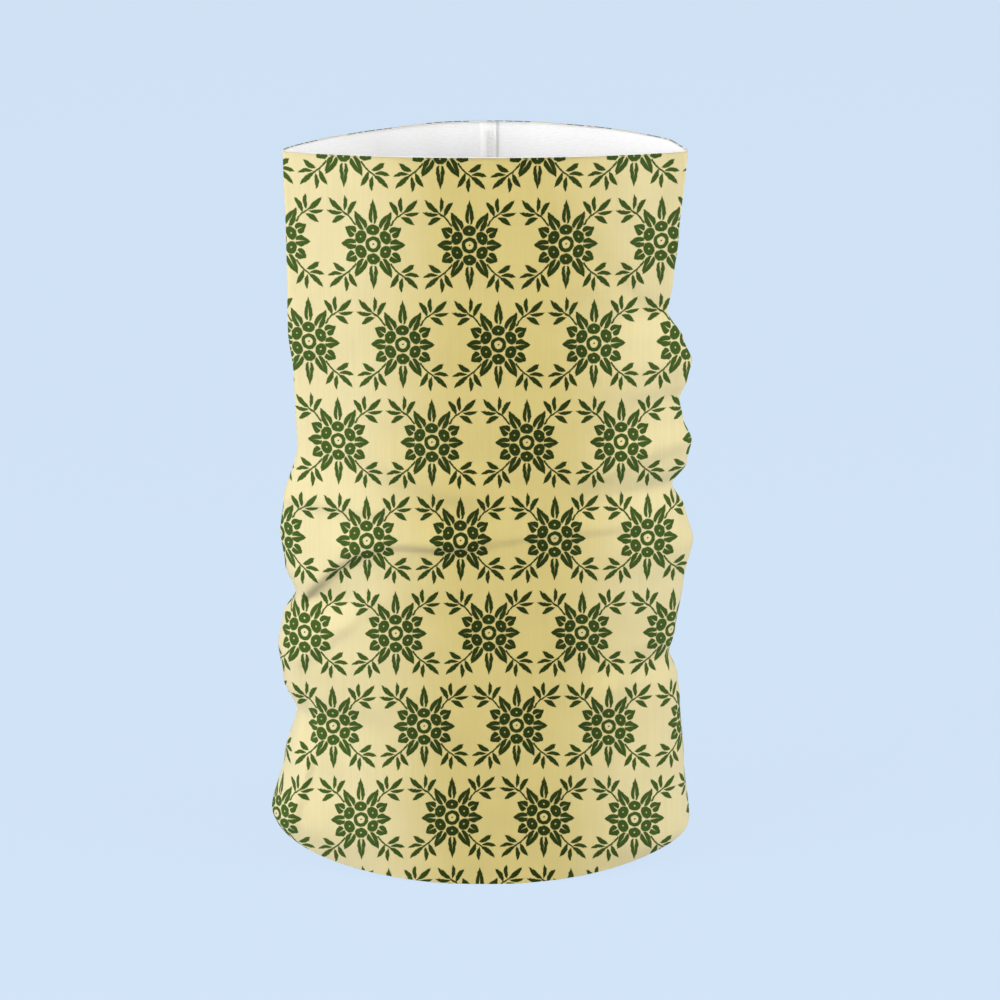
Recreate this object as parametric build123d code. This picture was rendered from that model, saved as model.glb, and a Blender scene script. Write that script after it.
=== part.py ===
"""Neck gaiter: one rectangle of printed stretch knit, rolled into a tube and closed down the centre back.

Frame: millimetres, +Z up, +X to the wearer's left, the front faces -Y.
Origin: centre of the bounding box at the bottom cut edge, on which the open tube stands.
The closing seam is a four-thread overlock: both edges of the cloth are turned inside, pressed towards +X,
and bound together by two needle threads and two looper threads.
"""

import math
import os

from build123d import *

# Cloth
cloth = 0.7             # thickness of one layer of knit
allowance = 6.0         # width of each edge turned inside at the seam
tube_height = 398.0     # bottom cut edge to top cut edge as the tube stands

# The tube bulges to the front and to the back between two soft creases, one down each side
front_top = 19.0        # depth of the front bulge at the top edge
front_bottom = 47.0     # and at the bottom edge
back_top = 78.0         # depth of the back at the top edge
back_bottom = 42.0      # and at the bottom edge
seam_flat = 12.0        # half the width of the flat strip that carries the seam

# Crests and hollows of the folds down the two side creases: height, distance from the middle
left_folds = [
    (0, 114),
    (28, 120),
    (88, 104.5),
    (122, 114),
    (154, 102.5),
    (194, 111),
    (236, 101),
    (350, 104.5),
    (tube_height, 105),
]
right_folds = [
    (0, 112),
    (20, 114.5),
    (92, 107.5),
    (119, 101),
    (185, 113),
    (216, 100.5),
    (242, 111),
    (263, 104),
    (285, 110),
    (311, 96.5),
    (350, 101.5),
    (tube_height, 105.5),
]
levels = 28             # the folds are drawn at this many even steps of height

# Seam
thread = 0.25           # thickness of a thread as it lies pressed on the cloth
needle_width = 0.4      # width of one needle thread's line of stitches
slip = 0.02             # clearance between pieces that touch
jog = 3.0               # width over which the left edge steps in under the seam
groove = 0.4            # width of the groove that shows the seam line outside
needle_lines = {"left_needle_thread": 0.8, "right_needle_thread": 3.0}
thread_bottom = 0.5     # the threads are trimmed just inside the cut edges
thread_top = tube_height - 0.5

# Depths of the layers at the seam, inwards from the tube's outer surface
under_main = cloth + slip                           # lower looper thread lies under the main layer
turned_top = under_main + thread + slip             # turned edge of the right side
left_top = turned_top + cloth + slip                # turned edge of the left side
left_under = left_top + cloth                       # its inner surface
looper_under = left_under + slip + thread           # upper looper thread
needle_under = looper_under + slip + thread         # needle threads, on top of the looper


def front_depth(z):
    return front_bottom + (front_top - front_bottom) * z / tube_height


def back_depth(z):
    return back_bottom + (back_top - back_bottom) * z / tube_height


def crease(folds, z):
    """Distance of a side crease from the middle, eased from each crest to the next hollow."""
    for (low, start), (high, end) in zip(folds, folds[1:]):
        if z <= high:
            break
    ease = (1 - math.cos(math.pi * (z - low) / (high - low))) / 2
    return start + (end - start) * ease


def crease_inset(side, front, back):
    """How far inside the outer crease the inner crease lies, for an even cloth thickness."""
    front_slope = 2 * math.atan2(front, side)
    back_slope = 2 * math.atan2(back, side - seam_flat)
    half_angle = (front_slope + back_slope) / 2
    reach = cloth / math.sin(half_angle)
    turn = (back_slope - front_slope) / 2
    return reach * math.cos(turn), reach * math.sin(turn)


def shell_points(z, left, right, inset):
    """Seam ends, creases and front middle of the tube's outer (inset 0) or inner (inset 1) surface."""
    front, back = front_depth(z), back_depth(z)
    in_left, in_right = crease_inset(left, front, back), crease_inset(right, front, back)
    return {
        "seam_left": (-seam_flat, back - inset * cloth),
        "crease_left": (-left + inset * in_left[0], inset * in_left[1]),
        "front": (0, -front + inset * cloth),
        "crease_right": (right - inset * in_right[0], inset * in_right[1]),
        "seam_right": (seam_flat, back - inset * cloth),
    }


def bulge(flat_end, crease, z):
    """One quarter of the tube: an arc that leaves the flat end square to the depth and ends at a crease."""
    side = 1 if crease[0] > 0 else -1
    return TangentArc((*flat_end, z), (*crease, z), tangent=(side, 0, 0))


def quarters(points, z):
    """The four arcs of one surface, from the left end of the seam strip round to its right end."""
    return [
        bulge(points["seam_left"], points["crease_left"], z),
        bulge(points["front"], points["crease_left"], z),
        bulge(points["front"], points["crease_right"], z),
        bulge(points["seam_right"], points["crease_right"], z),
    ]


def run(corners, z):
    """Straight edges through corners given as (x, depth inside the tube's outer surface at the back)."""
    back = back_depth(z)
    places = [(x, back - depth, z) for x, depth in corners]
    return [Line(a, b) for a, b in zip(places, places[1:])]


def cloth_section(z):
    """The cloth at one height: a long C whose ends are turned in at the seam."""
    left, right = crease(left_folds, z), crease(right_folds, z)
    left_end = [
        (allowance, left_top),
        (-groove, left_top),
        (-groove - jog, 0),
        (-seam_flat, 0),
    ]
    right_end = [
        (seam_flat, 0),
        (0, 0),
        (0, turned_top + cloth),
        (allowance, turned_top + cloth),
        (allowance, turned_top),
        (cloth, turned_top),
        (cloth, cloth),
        (seam_flat, cloth),
    ]
    left_end_inside = [
        (-seam_flat, cloth),
        (-groove - jog, cloth),
        (-groove, left_under),
        (allowance, left_under),
        (allowance, left_top),
    ]
    outer = shell_points(z, left, right, 0)
    inner = shell_points(z, left, right, 1)
    edges = run(left_end, z) + quarters(outer, z) + run(right_end, z)
    edges += quarters(inner, z) + run(left_end_inside, z)
    return Face(Wire(edges))


def body_panel():
    return loft([cloth_section(tube_height * step / levels) for step in range(levels + 1)])


def seam_strip(corners):
    """A straight piece that follows the seam, with corners given as (x, depth inside the outer surface)."""
    ends = []
    for z in (thread_bottom, thread_top):
        ends.append(Face(Wire(run(corners + corners[:1], z))))
    return loft(ends, ruled=True)


def lower_looper_thread():
    """Lies between the main layer and the turned edges, and wraps round the two raw edges."""
    wrap = allowance + slip
    return seam_strip([
        (cloth + slip, under_main),
        (wrap + thread, under_main),
        (wrap + thread, left_under),
        (wrap, left_under),
        (wrap, under_main + thread),
        (cloth + slip, under_main + thread),
    ])


def upper_looper_thread():
    """Lies on the turned edges, on the inside of the tube, out to the raw edges."""
    return seam_strip([
        (cloth, left_under + slip),
        (allowance + slip + thread, left_under + slip),
        (allowance + slip + thread, looper_under),
        (cloth, looper_under),
    ])


def needle_thread(x):
    """One straight line of stitches, on top of the upper looper thread."""
    return seam_strip([
        (x, looper_under + slip),
        (x + needle_width, looper_under + slip),
        (x + needle_width, needle_under),
        (x, needle_under),
    ])


parts = {
    "body_panel": body_panel(),
    "lower_looper_thread": lower_looper_thread(),
    "upper_looper_thread": upper_looper_thread(),
}
for name, x in needle_lines.items():
    parts[name] = needle_thread(x)

# The origin goes to the centre of the footprint, which is the cloth's
box = parts["body_panel"].bounding_box()
to_origin = Pos(-(box.min.X + box.max.X) / 2, -(box.min.Y + box.max.Y) / 2, 0)

os.makedirs("parts", exist_ok=True)
for name, piece in parts.items():
    export_step(to_origin * piece.solid(), f"parts/{name}.step")
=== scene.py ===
import math

import bpy
import numpy as np
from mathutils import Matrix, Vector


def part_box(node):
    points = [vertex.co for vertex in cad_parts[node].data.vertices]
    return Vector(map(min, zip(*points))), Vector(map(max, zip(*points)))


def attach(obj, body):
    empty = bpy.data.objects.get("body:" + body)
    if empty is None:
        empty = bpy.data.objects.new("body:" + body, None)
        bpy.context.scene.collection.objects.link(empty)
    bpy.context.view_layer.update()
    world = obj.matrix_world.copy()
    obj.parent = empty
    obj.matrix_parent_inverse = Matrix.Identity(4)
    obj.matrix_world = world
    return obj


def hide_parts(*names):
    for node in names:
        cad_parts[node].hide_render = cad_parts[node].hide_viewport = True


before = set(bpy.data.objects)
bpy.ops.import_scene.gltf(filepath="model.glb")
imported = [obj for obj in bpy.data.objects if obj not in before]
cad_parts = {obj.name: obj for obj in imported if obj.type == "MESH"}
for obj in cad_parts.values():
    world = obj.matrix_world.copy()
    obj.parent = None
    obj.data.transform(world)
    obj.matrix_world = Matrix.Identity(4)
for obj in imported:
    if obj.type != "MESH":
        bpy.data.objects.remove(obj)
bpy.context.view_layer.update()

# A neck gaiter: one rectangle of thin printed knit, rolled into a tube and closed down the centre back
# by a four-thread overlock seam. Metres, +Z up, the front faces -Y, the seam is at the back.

MM = 0.001
panel_low, panel_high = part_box("body_panel")

# ---- Driving dimensions ----------------------------------------------------------------------------------

CLOTH = 0.7 * MM                        # thickness of the knit
PRESSED = 0.45 * MM                     # and where the seam presses it
THREAD = 0.3 * MM                       # thickness of the sewing thread
ALLOWANCE = 6 * MM                      # cloth turned inside on each side of the seam
FLAT_WIDTH = 0.502                      # cut size of the cloth, both allowances included
FLAT_LENGTH = 0.405

FRONT_TOP, FRONT_BOTTOM = 19 * MM, 47 * MM      # depth of the front bulge at the two edges
BACK_TOP, BACK_BOTTOM = 78 * MM, 42 * MM        # depth of the back
POINTED, ROUNDED = 1.75, 0.88                   # power of the section: 2 is a pointed lens, 1 an ellipse
CREASE_ROUND = 0.35                             # how far round the creases stay rounded
SIDE_TOP, SIDE_BOTTOM = 104 * MM, 112 * MM      # half width with no folds
LEFT_REACH = 120 * MM                           # from the middle out to the furthest left fold
EDGE_LIFT, LIFT_POWER = 25 * MM, 0.75           # how far the bottom edge rides up at the sides, and how fast

HEIGHT = panel_high.z                   # bottom edge to top edge
CREASE_Y = panel_high.y - BACK_TOP      # where the side creases stand, between front and back
MIDDLE_X = panel_low.x + LEFT_REACH      # the left folds reach further out than the right ones

COLUMNS = 360                           # mesh columns round the tube
ROWS = 200                              # mesh rows up the tube

# ---- Camera ----------------------------------------------------------------------------------------------

CAMERA_DISTANCE = 1.5
CAMERA_ELEVATION = math.radians(18)
CAMERA_SIDE = 8 * MM                    # how far right of the tube's middle the camera stands
AIM_HEIGHT = 206.6 * MM
LENS = 99.5                             # in mm, on a 36 mm sensor


def make_camera():
    data = bpy.data.cameras.new("camera")
    data.sensor_width = 36
    data.lens = LENS
    data.clip_end = 50
    camera = bpy.data.objects.new("camera", data)
    back = CAMERA_DISTANCE * math.cos(CAMERA_ELEVATION)
    up = CAMERA_DISTANCE * math.sin(CAMERA_ELEVATION)
    camera.location = (MIDDLE_X + CAMERA_SIDE, CREASE_Y - back, AIM_HEIGHT + up)
    camera.rotation_euler = (math.pi / 2 - CAMERA_ELEVATION, 0, 0)
    bpy.context.scene.collection.objects.link(camera)
    bpy.context.scene.camera = camera


# ---- Folds -----------------------------------------------------------------------------------------------

# Crests and hollows of the bellows-like folds down each side: height, distance from the middle, in mm
LEFT_FOLDS = [
    (0, 108), (26, 120), (58, 112), (86, 104.5), (103, 111.5), (124, 114), (141, 111), (155, 103),
    (170, 109), (190, 111.3), (208, 109), (236, 101), (278, 102), (300, 104.5), (350, 104.3), (398, 105),
]
RIGHT_FOLDS = [
    (0, 104), (18, 114.5), (55, 110.5), (92, 107.5), (106, 106), (119, 101), (132, 104), (162, 108.3),
    (185, 113), (203, 108), (216, 100.5), (228, 108.5), (241, 111), (253, 106), (264, 103.8),
    (275, 108), (285, 110.2), (297, 105.5), (311, 96.7), (330, 99.5), (350, 101.6), (398, 105.5),
]
# How much higher than the front the back's top edge stands: distance from the middle, height, in mm
BACK_EDGE = [(-110, 0), (-60, 0.3), (-20, 1.4), (40, 1.8), (75, 2.4), (97, 2.4), (105, 0)]
BACK_EDGE_POWER = 12                    # how closely that rise keeps to the top edge
FOLD_REACH = 46 * MM                    # how far round from the side these folds run before they fade
FOLD_DEPTH = 0.45                       # how much of a side fold also shows as depth, front and back
CREASE_FADE = 14 * MM                   # the creases below fade out over this much past their ends

# Creases across the cloth: points (distance from the middle, height) along the crease, then how far the cloth
# stands out beside it, and how wide that ridge is above and below, in mm
FRONT_CREASES = [
    ([(-100, 155), (-84, 174), (-70, 186), (-53, 192), (-35, 191), (-12, 192)], 2.9, 14, 2.3),
    ([(-98, 157), (-84, 174), (-68, 187)], 2.2, 11, 3.6),
    ([(-30, 191), (15, 195), (50, 198), (84, 197)], 1.3, 7, 1.4),
    ([(-108, 30), (-100, 52), (-93, 76)], 2.2, 5, 5),
    ([(-110, 210), (-86, 209.5), (-62, 209)], 2.0, 10, 2.8),
    ([(58, 228), (84, 236), (110, 245)], 1.2, 9, 4.5),
    ([(48, 356), (62, 341), (78, 321), (92, 309)], -1.6, 6, 6),
    ([(-66, 240), (-34, 226), (-4, 218)], 1.5, 13, 6),
    ([(-102, 122), (-80, 141), (-60, 158)], 1.9, 6, 4.5),
    ([(64, 104), (80, 120), (100, 140)], 1.3, 8, 7),
    ([(26, 252), (50, 262), (84, 268)], 0.9, 12, 8),
]
BACK_CREASES = [
    ([(-102, 152), (-78, 146), (-50, 150), (-20, 158)], 2.2, 18, 4),
    ([(-104, 236), (-76, 226), (-44, 222)], 1.6, 16, 6),
    ([(16, 212), (48, 206), (78, 208), (102, 216)], 2.2, 18, 4),
    ([(26, 306), (52, 298), (80, 300), (98, 309)], 1.9, 16, 6),
    ([(50, 116), (80, 112), (102, 119)], 1.8, 16, 6),
    ([(-106, 88), (-84, 92), (-56, 104)], 1.6, 16, 6),
]
# Soft folds that run up the cloth: distance from the middle, height, half length, half width, how far out,
# in mm
FRONT_SWELLS = [
    (-46, 345, 62, 5, 1.1), (-66, 330, 110, 20, 1.3), (34, 120, 110, 30, -1.2), (-97, 74, 34, 4.5, -1.7),
]
BACK_SWELLS = [
    (-62, 380, 90, 7, 1.5), (-31, 372, 110, 6, 1.2), (40, 330, 140, 14, -1.3), (66, 240, 80, 12, 1.2),
]
# Faint unevenness all over: waves round the tube, waves up it, phase
RIPPLES = [(5, 2.5, 0.3), (9, -5, 1.9), (-12, 4, 4.0), (4, 9, 2.6), (16, 12, 5.1), (-10, 15, 0.9)]
RIPPLE = 0.09 * MM


def smooth(t):
    """0 up to 0 and 1 from 1, eased between."""
    t = np.clip(t, 0, 1)
    return t * t * (3 - 2 * t)


def mixed(start, end, share):
    return start + (end - start) * share


def eased(points, height):
    """The distance listed for that height, eased from each point to the next."""
    heights, values = np.array(points).T * MM
    at = np.clip(np.searchsorted(heights, height, side="right") - 1, 0, len(heights) - 2)
    t = np.clip((height - heights[at]) / (heights[at + 1] - heights[at]), 0, 1)
    return mixed(values[at], values[at + 1], 0.35 * t + 0.65 * smooth(t))


def crease_lift(x, height, creases):
    """How far the creases push the cloth out at x, height."""
    total = np.zeros_like(x)
    for points, lift, above, below in creases:
        along, across = np.array(points, float).T * MM
        curve = np.polynomial.Polynomial.fit(along, across, min(3, len(points) - 1))
        at = np.clip(x, along[0], along[-1])
        offset = (height - curve(at)) / np.sqrt(1 + np.minimum(np.abs(curve.deriv()(at)), 2) ** 2)
        width = np.where(offset > 0, above, below) * MM
        ends = smooth((x - along[0]) / CREASE_FADE + 1) * smooth((along[-1] - x) / CREASE_FADE + 1)
        total += lift * MM * np.exp(-((offset / width) ** 2)) * ends
    return total


def swell_lift(x, height, swells):
    total = np.zeros_like(x)
    for at_x, at_height, half_length, half_width, lift in np.array(swells) * MM:
        total += lift * np.exp(-(((height - at_height) / half_length) ** 2) - ((x - at_x) / half_width) ** 2)
    return total


def ripple(angle, share):
    total = np.zeros_like(angle)
    for waves_round, waves_up, phase in RIPPLES:
        total += np.sin(waves_round * angle + waves_up * 2 * math.pi * share + phase)
    return total * RIPPLE


# ---- The cloth as a grid of points -----------------------------------------------------------------------

SEAM_ZONE = 0.1                         # half the angle round the seam that gets finer columns
STEP_START, STEP_END = -3.6 * MM, -0.4 * MM     # where the left side steps in under the right one
FOLD_X = 0.3 * MM                       # the right side folds back here
TURNED = PRESSED + THREAD + 0.05 * MM   # depth of the turned edge of the right side, middle to middle
UNDER = TURNED + PRESSED + 0.03 * MM    # depth of the left side's edge
RIM_ROWS = np.array([0, 0.25, 0.5, 0.8, 1.2, 1.8]) * MM         # extra rows beside each cut edge
BEVEL = 0.35 * MM                       # how far the cut edges slant from the middle of the cloth
CURL = 0.5 * MM                         # how far the top cut edge rolls forward
PRINT_BOW = 14 * MM                     # how far the print's rows bow up in front, at the bottom edge
EASE = 0.8                              # the knit is this much shorter where it turns away at the sides


def tube_angles():
    """Angles from the seam round by the left crease, the front and the right crease, back to the seam."""
    near = np.linspace(0, SEAM_ZONE, 14)[:-1]
    rest = np.linspace(SEAM_ZONE, 2 * math.pi - SEAM_ZONE, COLUMNS)
    return np.concatenate([near, rest, 2 * math.pi - near[::-1]]) - math.pi / 2


def height_shares():
    """Shares of the cloth's length, finer beside the two cut edges."""
    near = RIM_ROWS / HEIGHT
    rest = np.linspace(near[-1], 1 - near[-1], ROWS)[1:-1]
    return np.concatenate([near, rest, 1 - near[::-1]])


def tube_surface(angle, share):
    """The middle of the cloth's thickness at angles round the tube and shares of its length."""
    front = np.sin(angle) > 0
    rise = np.abs(np.sin(angle))
    side = np.abs(np.cos(angle))
    height = mixed(EDGE_LIFT * (1 - rise ** LIFT_POWER), HEIGHT, share)

    plain = mixed(SIDE_BOTTOM, SIDE_TOP, share)
    folded = np.where(np.cos(angle) > 0, eased(LEFT_FOLDS, height), eased(RIGHT_FOLDS, height))
    inward = plain * (1 - side)
    fold = (folded - plain) * np.exp(-((inward / FOLD_REACH) ** 2))
    x = -np.sign(np.cos(angle)) * (plain + fold) * side

    depth = np.where(front, mixed(FRONT_BOTTOM, FRONT_TOP, share), mixed(BACK_BOTTOM, BACK_TOP, share))
    power = mixed(ROUNDED, POINTED, smooth(share)) - 1
    section = rise * ((rise ** 2 + CREASE_ROUND ** 2) / (1 + CREASE_ROUND ** 2)) ** (power / 2)
    y = depth * section + fold * FOLD_DEPTH * rise
    edge_rise = np.where(front, 0, eased(BACK_EDGE, x)) * share ** BACK_EDGE_POWER
    lift = np.where(
        front,
        crease_lift(x, height, FRONT_CREASES) + swell_lift(x, height, FRONT_SWELLS),
        crease_lift(x, height, BACK_CREASES) + swell_lift(x, height, BACK_SWELLS),
    )
    edge_calm = 0.2 + 0.8 * smooth(share * 14) * smooth((1 - share) * 22)
    seam_calm = np.where(front, 1, smooth((np.abs(x) - 4 * MM) / (14 * MM)))
    y = y + (lift * edge_calm + ripple(angle, share)) * seam_calm
    return MIDDLE_X + x, CREASE_Y + np.where(front, -y, y), height + edge_rise


def flat_places(x, y, angles):
    """Distance round the cloth from the front middle. The knit is stretched evenly over the front, and eased
    where it turns away at the sides, so that both its side edges are straight at the seam."""
    across = np.abs(np.diff(x, axis=1))
    step = np.maximum(across, EASE * np.hypot(across, np.diff(y, axis=1)))
    reach = np.concatenate([np.zeros((len(x), 1)), np.cumsum(step, axis=1)], axis=1)
    middle = np.argmin(np.abs(angles - math.pi / 2))
    reach += x[:, middle:middle + 1] - reach[:, middle:middle + 1]
    half = FLAT_WIDTH / 2 - ALLOWANCE
    left, right = np.argmin(np.abs(angles)), np.argmin(np.abs(angles - math.pi))
    sides = (slice(0, left), left, 0, -half), (slice(right + 1, None), right, -1, half)
    for behind, crease, seam, edge in sides:
        start, end = reach[:, [crease]], reach[:, [seam]]
        reach[:, behind] = start + (reach[:, behind] - start) * (edge - start) / (end - start)
    return reach


def print_heights(angle, share, height):
    """How high the rows of the print count each point: level all round, and bowed up across the front."""
    return height - PRINT_BOW * (1 - share) * np.maximum(np.sin(angle), 0) ** 2


def cloth_grid():
    """Rows and columns of points from the left side's turned edge, round the tube, to the right side's one,
    with each point's place on the flat cloth and in the rows of the print."""
    angles, shares = tube_angles(), height_shares()
    angle, share = np.meshgrid(angles, shares)
    x, y, z = tube_surface(angle, share)
    places = flat_places(x, y, angles)
    print_height = print_heights(angle, share, z)

    edge = smooth(1 - (1 - share) * HEIGHT / RIM_ROWS[-1])
    y = y - CURL * edge * np.sin(angle) ** 2

    from_seam = x - x[:, :1]
    step = smooth((from_seam - STEP_START) / (STEP_END - STEP_START))
    y = y - np.where((angle < 0) & (from_seam < 0), step * UNDER, 0)
    first = int(np.argmax(from_seam[0] < STEP_END))
    last = len(angles) - 1 - int(np.argmax(from_seam[0][::-1] > FOLD_X + TURNED))

    tuck = np.linspace(ALLOWANCE, STEP_END + 0.3 * MM, 10)
    turn = np.linspace(0, math.pi, 9)
    radius = TURNED / 2
    straight = np.linspace(FOLD_X + radius, ALLOWANCE, 8)[1:]
    fold_x = np.concatenate([FOLD_X + radius * (1 - np.sin(turn)), straight])
    fold_in = np.concatenate([radius * (1 - np.cos(turn)), np.full(len(straight), TURNED)])

    seam_x, seam_y, seam_z = x[:, :1], y[:, -1:], z[:, :1]
    left = (seam_x + tuck, seam_y - UNDER + 0 * tuck, seam_z + 0 * tuck)
    main = (x[:, first:last + 1], y[:, first:last + 1], z[:, first:last + 1])
    right = (seam_x + fold_x, seam_y - fold_in, seam_z + 0 * fold_x)
    grid = np.stack([np.hstack(axis) for axis in zip(left, main, right)], axis=-1)

    round_fold = np.cumsum(np.hypot(*np.diff([fold_x, fold_in], axis=1, prepend=0)))

    def with_ends(places):
        return np.hstack([places[:, :1] - tuck, places[:, first:last + 1], places[:, -1:] + round_fold])

    across = with_ends(places)
    flat = np.stack([across, shares[:, None] * FLAT_LENGTH + 0 * across], axis=-1)
    up = np.hstack([
        print_height[:, :1] + 0 * tuck,
        print_height[:, first:last + 1],
        print_height[:, -1:] + 0 * fold_x,
    ])
    return grid, flat, np.stack([across, up], axis=-1)


def printed_side_normals(grid):
    normal = np.cross(np.gradient(grid, axis=1), np.gradient(grid, axis=0))
    return normal / np.linalg.norm(normal, axis=-1, keepdims=True)


def rectangle_faces(rows, columns, first=0, flip=False):
    """Quads of a grid of points stored row by row."""
    at = first + np.arange(rows - 1)[:, None] * columns + np.arange(columns - 1)[None, :]
    quads = np.stack([at, at + 1, at + columns + 1, at + columns], axis=-1).reshape(-1, 4)
    return quads[:, ::-1] if flip else quads


def strip_faces(one, other):
    """Quads between two lines of points."""
    return np.stack([one[:-1], one[1:], other[1:], other[:-1]], axis=-1)


def make_object(name, mesh, materials):
    for material in materials:
        mesh.materials.append(material)
    piece = bpy.data.objects.new(name, mesh)
    bpy.context.scene.collection.objects.link(piece)
    return piece


def make_cloth(face, reverse):
    """The cloth with its real thickness: printed side, reverse, and a cut edge all round."""
    grid, flat, printed_places = cloth_grid()
    normal = printed_side_normals(grid)
    rows, columns = grid.shape[:2]
    count = rows * columns
    from_seam = np.abs(grid[-1, :, 0] - MIDDLE_X)
    at_back = grid[-1, :, 1] > CREASE_Y
    half = mixed(PRESSED, CLOTH, np.where(at_back, smooth((from_seam - ALLOWANCE) / ALLOWANCE), 1)) / 2
    outside, inside = grid + normal * half[:, None], grid - normal * half[:, None]
    slant = np.where(at_back, BEVEL, -BEVEL)
    outside[-1, :, 2] += slant
    inside[-1, :, 2] -= slant
    points = np.concatenate([outside.reshape(-1, 3), inside.reshape(-1, 3), grid[0], grid[-1]])
    number = np.arange(count).reshape(rows, columns)
    bottom, top = 2 * count + np.arange(columns), 2 * count + columns + np.arange(columns)
    printed = np.concatenate([
        rectangle_faces(rows, columns),
        strip_faces(bottom, number[0]),
        strip_faces(number[-1], top),
    ])
    plain = rectangle_faces(rows, columns, count, flip=True)
    edges = [
        strip_faces(number[0] + count, bottom),
        strip_faces(top, number[-1] + count),
        strip_faces(number[:, 0], number[:, 0] + count),
        strip_faces(number[:, -1] + count, number[:, -1]),
    ]
    faces = np.concatenate([printed, plain, *edges])
    mesh = bpy.data.meshes.new("body_panel_cloth")
    mesh.from_pydata(points.tolist(), [], faces.tolist())
    mesh.polygons.foreach_set("use_smooth", np.ones(len(faces), bool))
    index = np.ones(len(faces), np.int32)
    index[:len(printed)] = 0
    mesh.polygons.foreach_set("material_index", index)

    for name, places in (("flat_cloth", flat), ("print", printed_places)):
        values = np.concatenate([places, np.zeros((rows, columns, 1))], axis=-1)
        layers = [values.reshape(-1, 3), values.reshape(-1, 3), values[0], values[-1]]
        attribute = mesh.attributes.new(name, "FLOAT_VECTOR", "POINT")
        attribute.data.foreach_set("vector", np.concatenate(layers).astype(np.float32).ravel())
    mesh.update()
    return make_object("body_panel_cloth", mesh, [face, reverse])


# ---- Seam threads ----------------------------------------------------------------------------------------

STITCH = 2.5 * MM                       # length of one stitch
NEEDLE_LINES = {"left_needle_thread": 0.9 * MM, "right_needle_thread": 3.1 * MM}
INNER_FACE = UNDER + PRESSED / 2          # depth of the seam's inner surface
HIDDEN_FACE = TURNED - PRESSED / 2        # depth of its other surface, under the main layer
RAW_EDGE = ALLOWANCE + THREAD / 2


def seam_line():
    """Height and depth of the back middle, from the bottom edge to the top edge."""
    share = np.linspace(0, 1, 80)[None, :]
    _, y, z = tube_surface(np.full_like(share, 1.5 * math.pi), share)
    return z[0], y[0]


def make_thread(name, corners, seam_z, seam_y, material):
    """A thread through corners: distance right of the seam, depth inside the cloth's middle, height."""
    data = bpy.data.curves.new(name, "CURVE")
    data.dimensions = "3D"
    data.bevel_depth = THREAD / 2
    data.bevel_resolution = 2
    data.resolution_u = 4
    data.use_fill_caps = True
    spline = data.splines.new("NURBS")
    spline.points.add(len(corners) - 1)
    for point, (x, depth, height) in zip(spline.points, corners):
        point.co = (MIDDLE_X + x, np.interp(height, seam_z, seam_y) - depth, height, 1)
    spline.order_u = 3
    spline.use_endpoint_u = True
    data.materials.append(material)
    piece = bpy.data.objects.new(name, data)
    bpy.context.scene.collection.objects.link(piece)
    return piece


def make_threads(material):
    """The four threads of the overlock seam."""
    seam_z, seam_y = seam_line()
    start, stitches = 0.6 * MM, int((HEIGHT - 1.2 * MM) / STITCH)
    heights = [start + STITCH * number for number in range(stitches)]
    threads = {}
    on_top = INNER_FACE + THREAD * 1.1
    for name, line in NEEDLE_LINES.items():
        corners = []
        for z in heights:
            corners += [
                (line, INNER_FACE, z),
                (line, on_top + THREAD / 2, z + 0.2 * STITCH),
                (line, on_top + THREAD / 2, z + 0.8 * STITCH),
            ]
        threads[name] = corners
    inner, outer = NEEDLE_LINES.values()
    layers = {
        "upper_looper_thread": (INNER_FACE + THREAD / 2, (INNER_FACE + HIDDEN_FACE) / 2 + 0.2 * MM, 0.0),
        "lower_looper_thread": (HIDDEN_FACE - THREAD / 2, (INNER_FACE + HIDDEN_FACE) / 2 - 0.2 * MM, 0.5),
    }
    for name, (depth, edge_depth, phase) in layers.items():
        corners = []
        for z in heights[:-1]:
            z += phase * STITCH
            corners += [
                (inner, depth, z),
                (outer, depth, z + 0.18 * STITCH),
                (RAW_EDGE, depth, z + 0.36 * STITCH),
                (RAW_EDGE + THREAD / 2, edge_depth, z + 0.5 * STITCH),
                (RAW_EDGE, depth, z + 0.64 * STITCH),
                (outer, depth, z + 0.82 * STITCH),
            ]
        threads[name] = corners
    pieces = []
    for name, corners in threads.items():
        piece = make_thread(name + "_stitches", corners, seam_z, seam_y, material)
        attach(piece, "root")
        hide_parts(name)
        pieces.append(piece)
    return pieces


# ---- Materials -------------------------------------------------------------------------------------------

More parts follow.
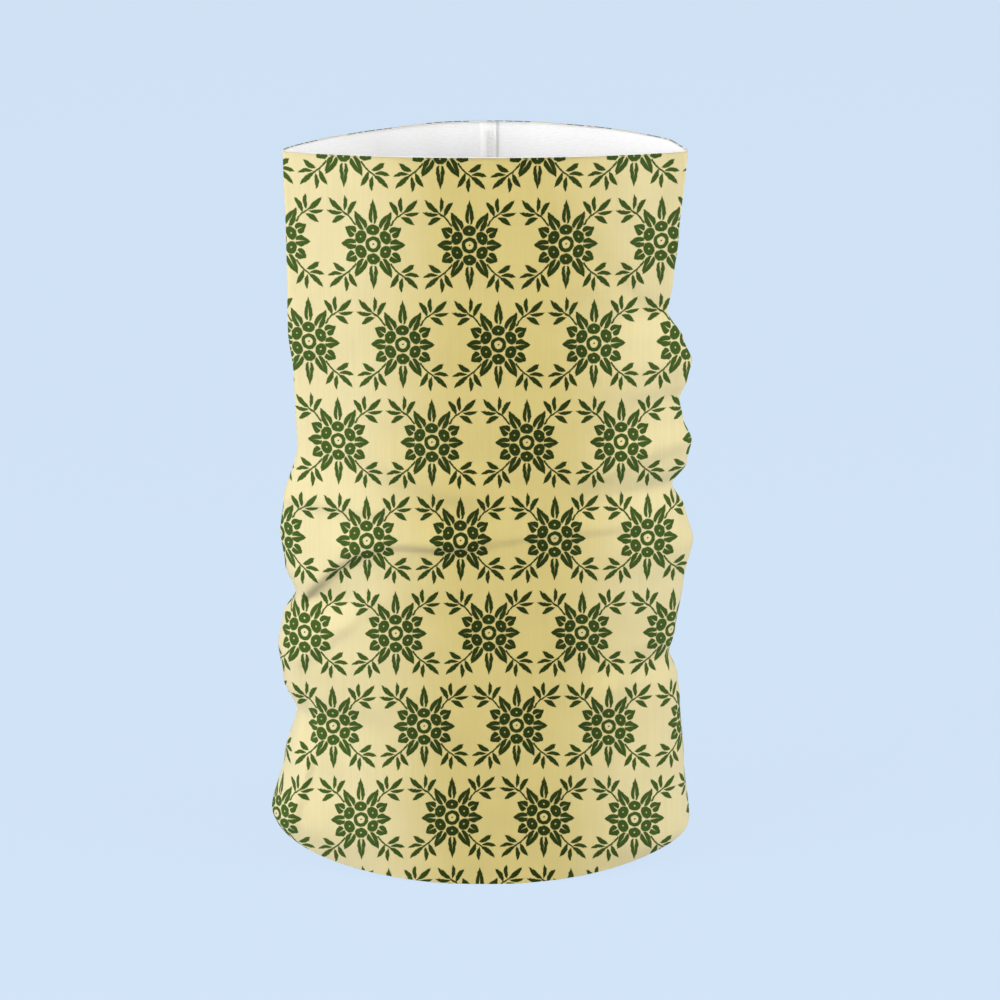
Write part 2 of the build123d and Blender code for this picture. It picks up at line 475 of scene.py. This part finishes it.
class Nodes:
    """Short names for the nodes of one material."""

    def __init__(self, name):
        self.material = bpy.data.materials.new(name)
        self.material.use_nodes = True
        self.tree = self.material.node_tree
        self.shader = self.tree.nodes["Principled BSDF"]

    def link(self, value, socket):
        if isinstance(value, bpy.types.NodeSocket):
            self.tree.links.new(value, socket)
        else:
            socket.default_value = value

    def math(self, operation, *values, clamp=False):
        node = self.tree.nodes.new("ShaderNodeMath")
        node.operation = operation
        node.use_clamp = clamp
        for value, socket in zip(values, node.inputs):
            self.link(value, socket)
        return node.outputs[0]

    def add(self, a, b):
        return self.math("ADD", a, b)

    def subtract(self, a, b):
        return self.math("SUBTRACT", a, b)

    def multiply(self, a, b):
        return self.math("MULTIPLY", a, b)

    def ramp(self, value, low, high, to_low=0.0, to_high=1.0, kind="LINEAR"):
        """value from low..high to to_low..to_high, clamped."""
        node = self.tree.nodes.new("ShaderNodeMapRange")
        node.interpolation_type = kind
        for number, item in enumerate((value, low, high, to_low, to_high)):
            self.link(item, node.inputs[number])
        return node.outputs[0]

    def places(self, name):
        """A place in metres kept with the mesh: across, up."""
        node = self.tree.nodes.new("ShaderNodeAttribute")
        node.attribute_name = name
        split = self.tree.nodes.new("ShaderNodeSeparateXYZ")
        self.tree.links.new(node.outputs["Vector"], split.inputs[0])
        return split.outputs[0], split.outputs[1]

    def vector(self, x, y, z=0.0):
        node = self.tree.nodes.new("ShaderNodeCombineXYZ")
        for value, socket in zip((x, y, z), node.inputs):
            self.link(value, socket)
        return node.outputs[0]

    def noise(self, vector, scale, detail=2.0, roughness=0.5):
        node = self.tree.nodes.new("ShaderNodeTexNoise")
        node.inputs["Scale"].default_value = scale
        node.inputs["Detail"].default_value = detail
        node.inputs["Roughness"].default_value = roughness
        self.link(vector, node.inputs["Vector"])
        return node.outputs[0]

    def mix(self, share, one, other):
        node = self.tree.nodes.new("ShaderNodeMix")
        node.data_type = "RGBA"
        self.link(share, node.inputs[0])
        for value, socket in ((one, node.inputs[6]), (other, node.inputs[7])):
            self.link(value if isinstance(value, bpy.types.NodeSocket) else (*value, 1), socket)
        return node.outputs[2]

    def bump(self, height, distance, strength=1.0, under=None):
        node = self.tree.nodes.new("ShaderNodeBump")
        node.inputs["Strength"].default_value = strength
        node.inputs["Distance"].default_value = distance
        self.link(height, node.inputs["Height"])
        if under is not None:
            self.link(under, node.inputs["Normal"])
        return node.outputs[0]


# The print. Its shapes are drawn in hundredths of its repeat's width
REPEAT_WIDTH, REPEAT_HEIGHT = 50.1 * MM, 54.15 * MM
ROW_SHIFT = 0.299                       # each row stands this share of a repeat left of the one below
FIRST_FLOWER = (-55.1 * MM, 351.1 * MM)                 # one flower: from the front middle, and height
UNITS, ROW_HEIGHT = 100.0, 102.4        # width and height of one repeat in those hundredths
INK_EDGE = 0.35                         # half the width of the ink's soft edge
WOBBLE, WOBBLE_SCALE = 2.6, 0.23        # unevenness of the drawn lines

EYE = 0.9                               # the flower's dot, and the ring round it
CENTRE_RING = (4.1, 8.2)
ROUND_PETALS, ROUND_PETAL_AT = 6, 14.9  # round petals and how far out they stand
ROUND_PETAL_SIZE = (5.7, 7.1)           # half their length and half their width
ROUND_PETAL_DOT = 0.8
PETALS = 12                             # pointed petals
PETAL_BASE, BASE_DIP = 21.4, 3.6        # where they start, and how much deeper between round ones
PETAL_REACH, PETAL_EXTRA = 33.5, 12.5   # tip of the side ones, and what the upright ones have more
PETAL_WIDTH, PETAL_GAP = 8.0, 0.55
LEAVES = [                                              # base, tip, half width, bend
    ((31, 32), (46.5, 46), 2.7, 0.8),
    ((30, 33), (29, 49), 2.3, -1.0),
    ((26, 29), (17, 44), 2.7, 1.2),
    ((32, 31), (48.5, 33), 2.2, 1.2),
    ((29, 28), (43, 20), 2.7, -1.0),
]
STEM = [(18.5, 20), (25, 28), (32, 32.5)]
STEM_WIDTH = 0.95

# Cream ground, and a paler cream painted on as highlight towards the sides; dark green ink, and a paler green
# painted on as highlight there and for random specks
CREAM, CREAM_PAINTED_HIGHLIGHT = (0.585, 0.480, 0.168), (0.73, 0.640, 0.350)
GREEN, GREEN_PAINTED_HIGHLIGHT_AND_SPECKS = (0.012, 0.020, 0.0006), (0.052, 0.100, 0.016)
LEFT_PAINTED_HIGHLIGHT = (-75 * MM, -5 * MM)      # where the painted highlight is strongest and where it ends, left of the front middle
RIGHT_PAINTED_HIGHLIGHT = (95 * MM, 30 * MM)      # and right of it
RIGHT_HIGHLIGHT_AMOUNT = 0.85                     # the painted highlight is this much weaker on the right
PAINTED_HIGHLIGHT_BACK_FADE = (130 * MM, 220 * MM)     # and it fades out between these distances on the way from either side to the back


def leaf(n, x, y, base, tip, width, bend):
    """How far the point x, y is inside a leaf that widens from its base and closes at its tip."""
    dx, dy = tip[0] - base[0], tip[1] - base[1]
    length = math.hypot(dx, dy)
    from_x, from_y = n.subtract(x, base[0]), n.subtract(y, base[1])
    along = n.add(n.multiply(from_x, dx / length ** 2), n.multiply(from_y, dy / length ** 2))
    across = n.subtract(n.multiply(from_y, dx / length), n.multiply(from_x, dy / length))
    swell = n.multiply(n.multiply(along, n.subtract(1.0, along)), 4.0)
    side = n.math("ABSOLUTE", n.add(across, n.multiply(swell, bend)))
    return n.subtract(n.multiply(swell, width), side)


def stem(n, x, y, start, end):
    """How far the point x, y is inside a straight stretch of stem with round ends."""
    dx, dy = end[0] - start[0], end[1] - start[1]
    squared = dx ** 2 + dy ** 2
    from_x, from_y = n.subtract(x, start[0]), n.subtract(y, start[1])
    dot = n.add(n.multiply(from_x, dx / squared), n.multiply(from_y, dy / squared))
    along = n.math("MULTIPLY", dot, 1.0, clamp=True)
    off_x = n.subtract(from_x, n.multiply(along, dx))
    off_y = n.subtract(from_y, n.multiply(along, dy))
    distance = n.math("SQRT", n.add(n.multiply(off_x, off_x), n.multiply(off_y, off_y)))
    return n.subtract(STEM_WIDTH, distance)


def ring(n, radius, low, high):
    """How far a radius is inside a ring."""
    return n.subtract((high - low) / 2, n.math("ABSOLUTE", n.subtract(radius, (high + low) / 2)))


def most(n, *values):
    result = values[0]
    for value in values[1:]:
        result = n.math("MAXIMUM", result, value)
    return result


def turned_to_one(n, angle, radius, count, start=0.0):
    """Folds the angle so that count petals become one: distance along it, across it, and its own angle."""
    part = 2 * math.pi / count
    which = n.math("ROUND", n.multiply(n.subtract(angle, start), 1 / part))
    own = n.add(n.multiply(which, part), start)
    rest = n.subtract(angle, own)
    return n.multiply(radius, n.math("COSINE", rest)), n.multiply(radius, n.math("SINE", rest)), own


def flower(n, x, y):
    """How far the point x, y is inside the ink of the flower round the origin."""
    radius = n.math("SQRT", n.add(n.multiply(x, x), n.multiply(y, y)))
    angle = n.math("ARCTAN2", y, x)
    eye = n.subtract(EYE, radius)
    centre_ring = ring(n, radius, *CENTRE_RING)
    along, across, own = turned_to_one(n, angle, radius, ROUND_PETALS, math.pi / ROUND_PETALS)
    off = n.subtract(along, ROUND_PETAL_AT)
    round_petal = n.subtract(1.0, n.math("SQRT", n.add(
        n.multiply(n.multiply(off, off), 1 / ROUND_PETAL_SIZE[0] ** 2),
        n.multiply(n.multiply(across, across), 1 / ROUND_PETAL_SIZE[1] ** 2),
    )))
    from_dot = n.math("SQRT", n.add(n.multiply(off, off), n.multiply(across, across)))
    dot = n.subtract(from_dot, ROUND_PETAL_DOT)
    round_petal = n.math("MINIMUM", n.multiply(round_petal, 5.0), dot)
    along, across, own = turned_to_one(n, angle, radius, PETALS)
    upright = n.math("POWER", n.math("ABSOLUTE", n.math("SINE", own)), 6.0)
    dip = n.math("POWER", n.math("ABSOLUTE", n.math("COSINE", n.multiply(own, 3.0))), 2.0)
    base = n.subtract(PETAL_BASE, n.multiply(dip, BASE_DIP))
    reach = n.subtract(n.add(PETAL_REACH, n.multiply(upright, PETAL_EXTRA)), base)
    share = n.math("DIVIDE", n.subtract(along, base), reach)
    swell = n.multiply(n.math("POWER", n.math("MAXIMUM", share, 0.0), 0.4), n.subtract(1.0, share))
    width = n.multiply(n.multiply(swell, PETAL_WIDTH), n.subtract(1.75, n.multiply(upright, 0.45)))
    side = n.math("ABSOLUTE", across)
    petal = n.subtract(width, side)
    gap = n.subtract(n.subtract(n.multiply(along, math.tan(math.pi / PETALS)), side), PETAL_GAP)
    rib = n.subtract(side, n.ramp(share, 0.1, 0.8, 0.75, -0.5))
    petal = n.math("MINIMUM", n.math("MINIMUM", petal, gap), rib)
    return most(n, eye, centre_ring, round_petal, petal)


def ink(n):
    """1 where the dark ink lies, 0 on the cream ground."""
    across, up = n.places("print")
    u = n.multiply(n.subtract(across, FIRST_FLOWER[0]), 1 / REPEAT_WIDTH)
    v = n.multiply(n.subtract(up, FIRST_FLOWER[1]), 1 / REPEAT_HEIGHT)
    row = n.math("ROUND", v)
    u = n.add(u, n.multiply(row, ROW_SHIFT))
    cell_x = n.multiply(n.subtract(u, n.math("ROUND", u)), UNITS)
    cell_y = n.multiply(n.subtract(v, row), ROW_HEIGHT)
    place = n.vector(cell_x, cell_y)
    other_place = n.vector(cell_y, cell_x, 7.0)
    wobble_x = n.multiply(n.subtract(n.noise(place, WOBBLE_SCALE), 0.5), WOBBLE)
    wobble_y = n.multiply(n.subtract(n.noise(other_place, WOBBLE_SCALE), 0.5), WOBBLE)
    x, y = n.add(cell_x, wobble_x), n.add(cell_y, wobble_y)
    far_x, far_y = n.math("ABSOLUTE", x), n.math("ABSOLUTE", y)
    shapes = [flower(n, x, y)]
    shapes += [leaf(n, far_x, far_y, *values) for values in LEAVES]
    shapes += [stem(n, far_x, far_y, start, end) for start, end in zip(STEM, STEM[1:])]
    return n.ramp(most(n, *shapes), -INK_EDGE, INK_EDGE)


WALE, COURSE = 0.9 * MM, 0.75 * MM      # width and height of one knit stitch


def knit_height(n, across, along):
    """Relief of the knit's printed side: columns of V-shaped stitches."""
    column = n.multiply(across, 1 / WALE)
    arm = n.math("PINGPONG", column, 0.5)
    course = n.add(n.multiply(along, 1 / COURSE), n.multiply(arm, 1.2))
    rib = n.math("SINE", n.multiply(arm, 2 * math.pi))
    loop = n.math("ABSOLUTE", n.math("SINE", n.multiply(course, math.pi)))
    return n.multiply(rib, n.add(0.55, n.multiply(loop, 0.45)))


def printed_knit():
    """The printed side: ink on a cream ground, both painted paler towards the sides as highlight, over the
    knit's relief.
    """
    n = Nodes("printed_knit")
    across, along = n.places("flat_cloth")
    streaks = n.noise(n.vector(n.multiply(across, 900.0), n.multiply(along, 22.0)), 1.0, 3.0)
    patches = n.noise(n.vector(across, along), 14.0, 3.0)
    # Painted highlight: the ground is painted paler towards both sides, most on the left, fading out towards
    # the back; random patches vary it
    left = n.ramp(across, *LEFT_PAINTED_HIGHLIGHT, 1.0, 0.0, "SMOOTHSTEP")
    right = n.ramp(across, *RIGHT_PAINTED_HIGHLIGHT, RIGHT_HIGHLIGHT_AMOUNT, 0.0, "SMOOTHSTEP")
    back = n.ramp(n.math("ABSOLUTE", across), *PAINTED_HIGHLIGHT_BACK_FADE, 1.0, 0.0, "SMOOTHSTEP")
    painted_highlight_and_patches = n.multiply(n.math("MAXIMUM", left, right), back)
    painted_highlight_and_patches = n.math("ADD", painted_highlight_and_patches, n.ramp(patches, 0.3, 0.7, -0.1, 0.1), clamp=True)
    # the cream ground takes the painted highlight colour at the sides
    ground = n.mix(painted_highlight_and_patches, CREAM, CREAM_PAINTED_HIGHLIGHT)
    ground = n.mix(n.ramp(streaks, 0.25, 0.75, 0.0, 0.12), ground, [c * 0.6 for c in CREAM])
    speck = n.noise(n.vector(n.multiply(across, 1500.0), n.multiply(along, 1500.0)), 1.0, 2.0, 0.7)
    # Painted highlight paling the ink towards the sides, plus random paler specks
    painted_highlight_and_specks = n.math("ADD", n.multiply(painted_highlight_and_patches, 0.8), n.ramp(speck, 0.45, 0.8, 0.0, 0.5), clamp=True)
    inked = ink(n)
    colour = n.mix(inked, ground, n.mix(painted_highlight_and_specks, GREEN, GREEN_PAINTED_HIGHLIGHT_AND_SPECKS))
    n.link(colour, n.shader.inputs["Base Color"])
    n.shader.inputs["Roughness"].default_value = 0.8
    n.link(n.ramp(inked, 0.0, 1.0, 0.7, 0.15), n.shader.inputs["Sheen Weight"])
    n.shader.inputs["Sheen Roughness"].default_value = 0.5
    n.link(n.mix(inked, (1, 1, 1), (0.35, 0.7, 0.2)), n.shader.inputs["Sheen Tint"])
    n.shader.inputs["Specular IOR Level"].default_value = 0.06
    uneven = n.noise(n.vector(n.multiply(across, 120.0), n.multiply(along, 60.0)), 1.0, 3.0)
    soft = n.bump(uneven, 0.25 * MM, 0.5)
    relief = n.bump(knit_height(n, across, along), 0.16 * MM, 0.8, soft)
    n.link(relief, n.shader.inputs["Normal"])
    return n.material


def plain_reverse():
    """The reverse of the knit: white, with courses of low purl loops."""
    n = Nodes("plain_reverse")
    across, along = n.places("flat_cloth")
    shade = n.noise(n.vector(n.multiply(across, 300.0), n.multiply(along, 900.0)), 1.0, 3.0)
    white = n.mix(n.ramp(shade, 0.3, 0.7), (0.84, 0.84, 0.84), (0.89, 0.89, 0.89))
    n.link(white, n.shader.inputs["Base Color"])
    n.shader.inputs["Roughness"].default_value = 0.85
    n.shader.inputs["Sheen Weight"].default_value = 0.2
    n.shader.inputs["Specular IOR Level"].default_value = 0.25
    wave = n.math("SINE", n.multiply(across, 2 * math.pi / WALE))
    purl = n.math("SINE", n.add(n.multiply(along, 2 * math.pi / COURSE), n.multiply(wave, 0.9)))
    n.link(n.bump(purl, 0.06 * MM, 0.5), n.shader.inputs["Normal"])
    return n.material


def sewing_thread():
    n = Nodes("sewing_thread")
    node = n.tree.nodes.new("ShaderNodeTexCoord")
    fibres = n.noise(node.outputs["Object"], 2600.0, 3.0, 0.7)
    n.link(n.mix(fibres, (0.70, 0.70, 0.69), (0.86, 0.86, 0.85)), n.shader.inputs["Base Color"])
    n.shader.inputs["Roughness"].default_value = 0.55
    n.shader.inputs["Sheen Weight"].default_value = 0.3
    n.link(n.bump(fibres, 0.06 * MM), n.shader.inputs["Normal"])
    return n.material


# ---- Floor and light -------------------------------------------------------------------------------------

FLOOR = (0.638, 0.768, 0.922)
FLOOR_GLOW = 0.965                      # the floor gives off this much of its own pale blue
FLOOR_SHADE = 0.04                      # and takes light and shadow only this much
FLOOR_REACH = 15
WORLD_LIGHT = 0.24


def make_floor():
    mesh = bpy.data.meshes.new("floor")
    reach = FLOOR_REACH
    corners = [(-reach, -reach, 0), (reach, -reach, 0), (reach, reach, 0), (-reach, reach, 0)]
    mesh.from_pydata(corners, [], [(0, 1, 2, 3)])
    material = bpy.data.materials.new("floor")
    material.use_nodes = True
    shader = material.node_tree.nodes["Principled BSDF"]
    shader.inputs["Base Color"].default_value = (*[c * FLOOR_SHADE for c in FLOOR], 1)
    shader.inputs["Roughness"].default_value = 1
    shader.inputs["Specular IOR Level"].default_value = 0
    shader.inputs["Emission Color"].default_value = (*FLOOR, 1)
    shader.inputs["Emission Strength"].default_value = FLOOR_GLOW
    floor = make_object("floor", mesh, [material])
    floor.visible_diffuse = False       # its blue doesn't tint the cloth


def area_light(name, azimuth, elevation, distance, size, power, colour=(1, 1, 1)):
    """A square soft light that faces the middle of the tube. Azimuth 0 is in front, positive to the right."""
    data = bpy.data.lights.new(name, "AREA")
    data.size = size
    data.energy = power
    data.color = colour
    light = bpy.data.objects.new(name, data)
    turn, rise = math.radians(azimuth), math.radians(elevation)
    away = (math.sin(turn) * math.cos(rise), -math.cos(turn) * math.cos(rise), math.sin(rise))
    middle = (MIDDLE_X, CREASE_Y, HEIGHT / 2)
    light.location = [m + distance * a for m, a in zip(middle, away)]
    light.rotation_euler = (math.pi / 2 - rise, 0, turn)
    bpy.context.scene.collection.objects.link(light)


def make_light():
    area_light("left_softbox", -62, 16, 2.2, 1.5, 62)
    area_light("right_softbox", 70, 16, 2.2, 1.5, 54)
    area_light("front_fill", 5, 30, 2.6, 1.6, 7, (1.0, 0.98, 0.95))
    area_light("top_light", 10, 66, 2.2, 1.2, 4)
    world = bpy.data.worlds.new("world")
    world.use_nodes = True
    world.node_tree.nodes["Background"].inputs[0].default_value = (1, 1, 1, 1)
    world.node_tree.nodes["Background"].inputs[1].default_value = WORLD_LIGHT
    bpy.context.scene.world = world
    bpy.context.scene.view_settings.view_transform = "Standard"


# ---- Putting it together ---------------------------------------------------------------------------------

make_camera()
make_floor()
make_light()
threads = make_threads(sewing_thread())
cloth = make_cloth(printed_knit(), plain_reverse())
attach(cloth, "root")
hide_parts("body_panel")
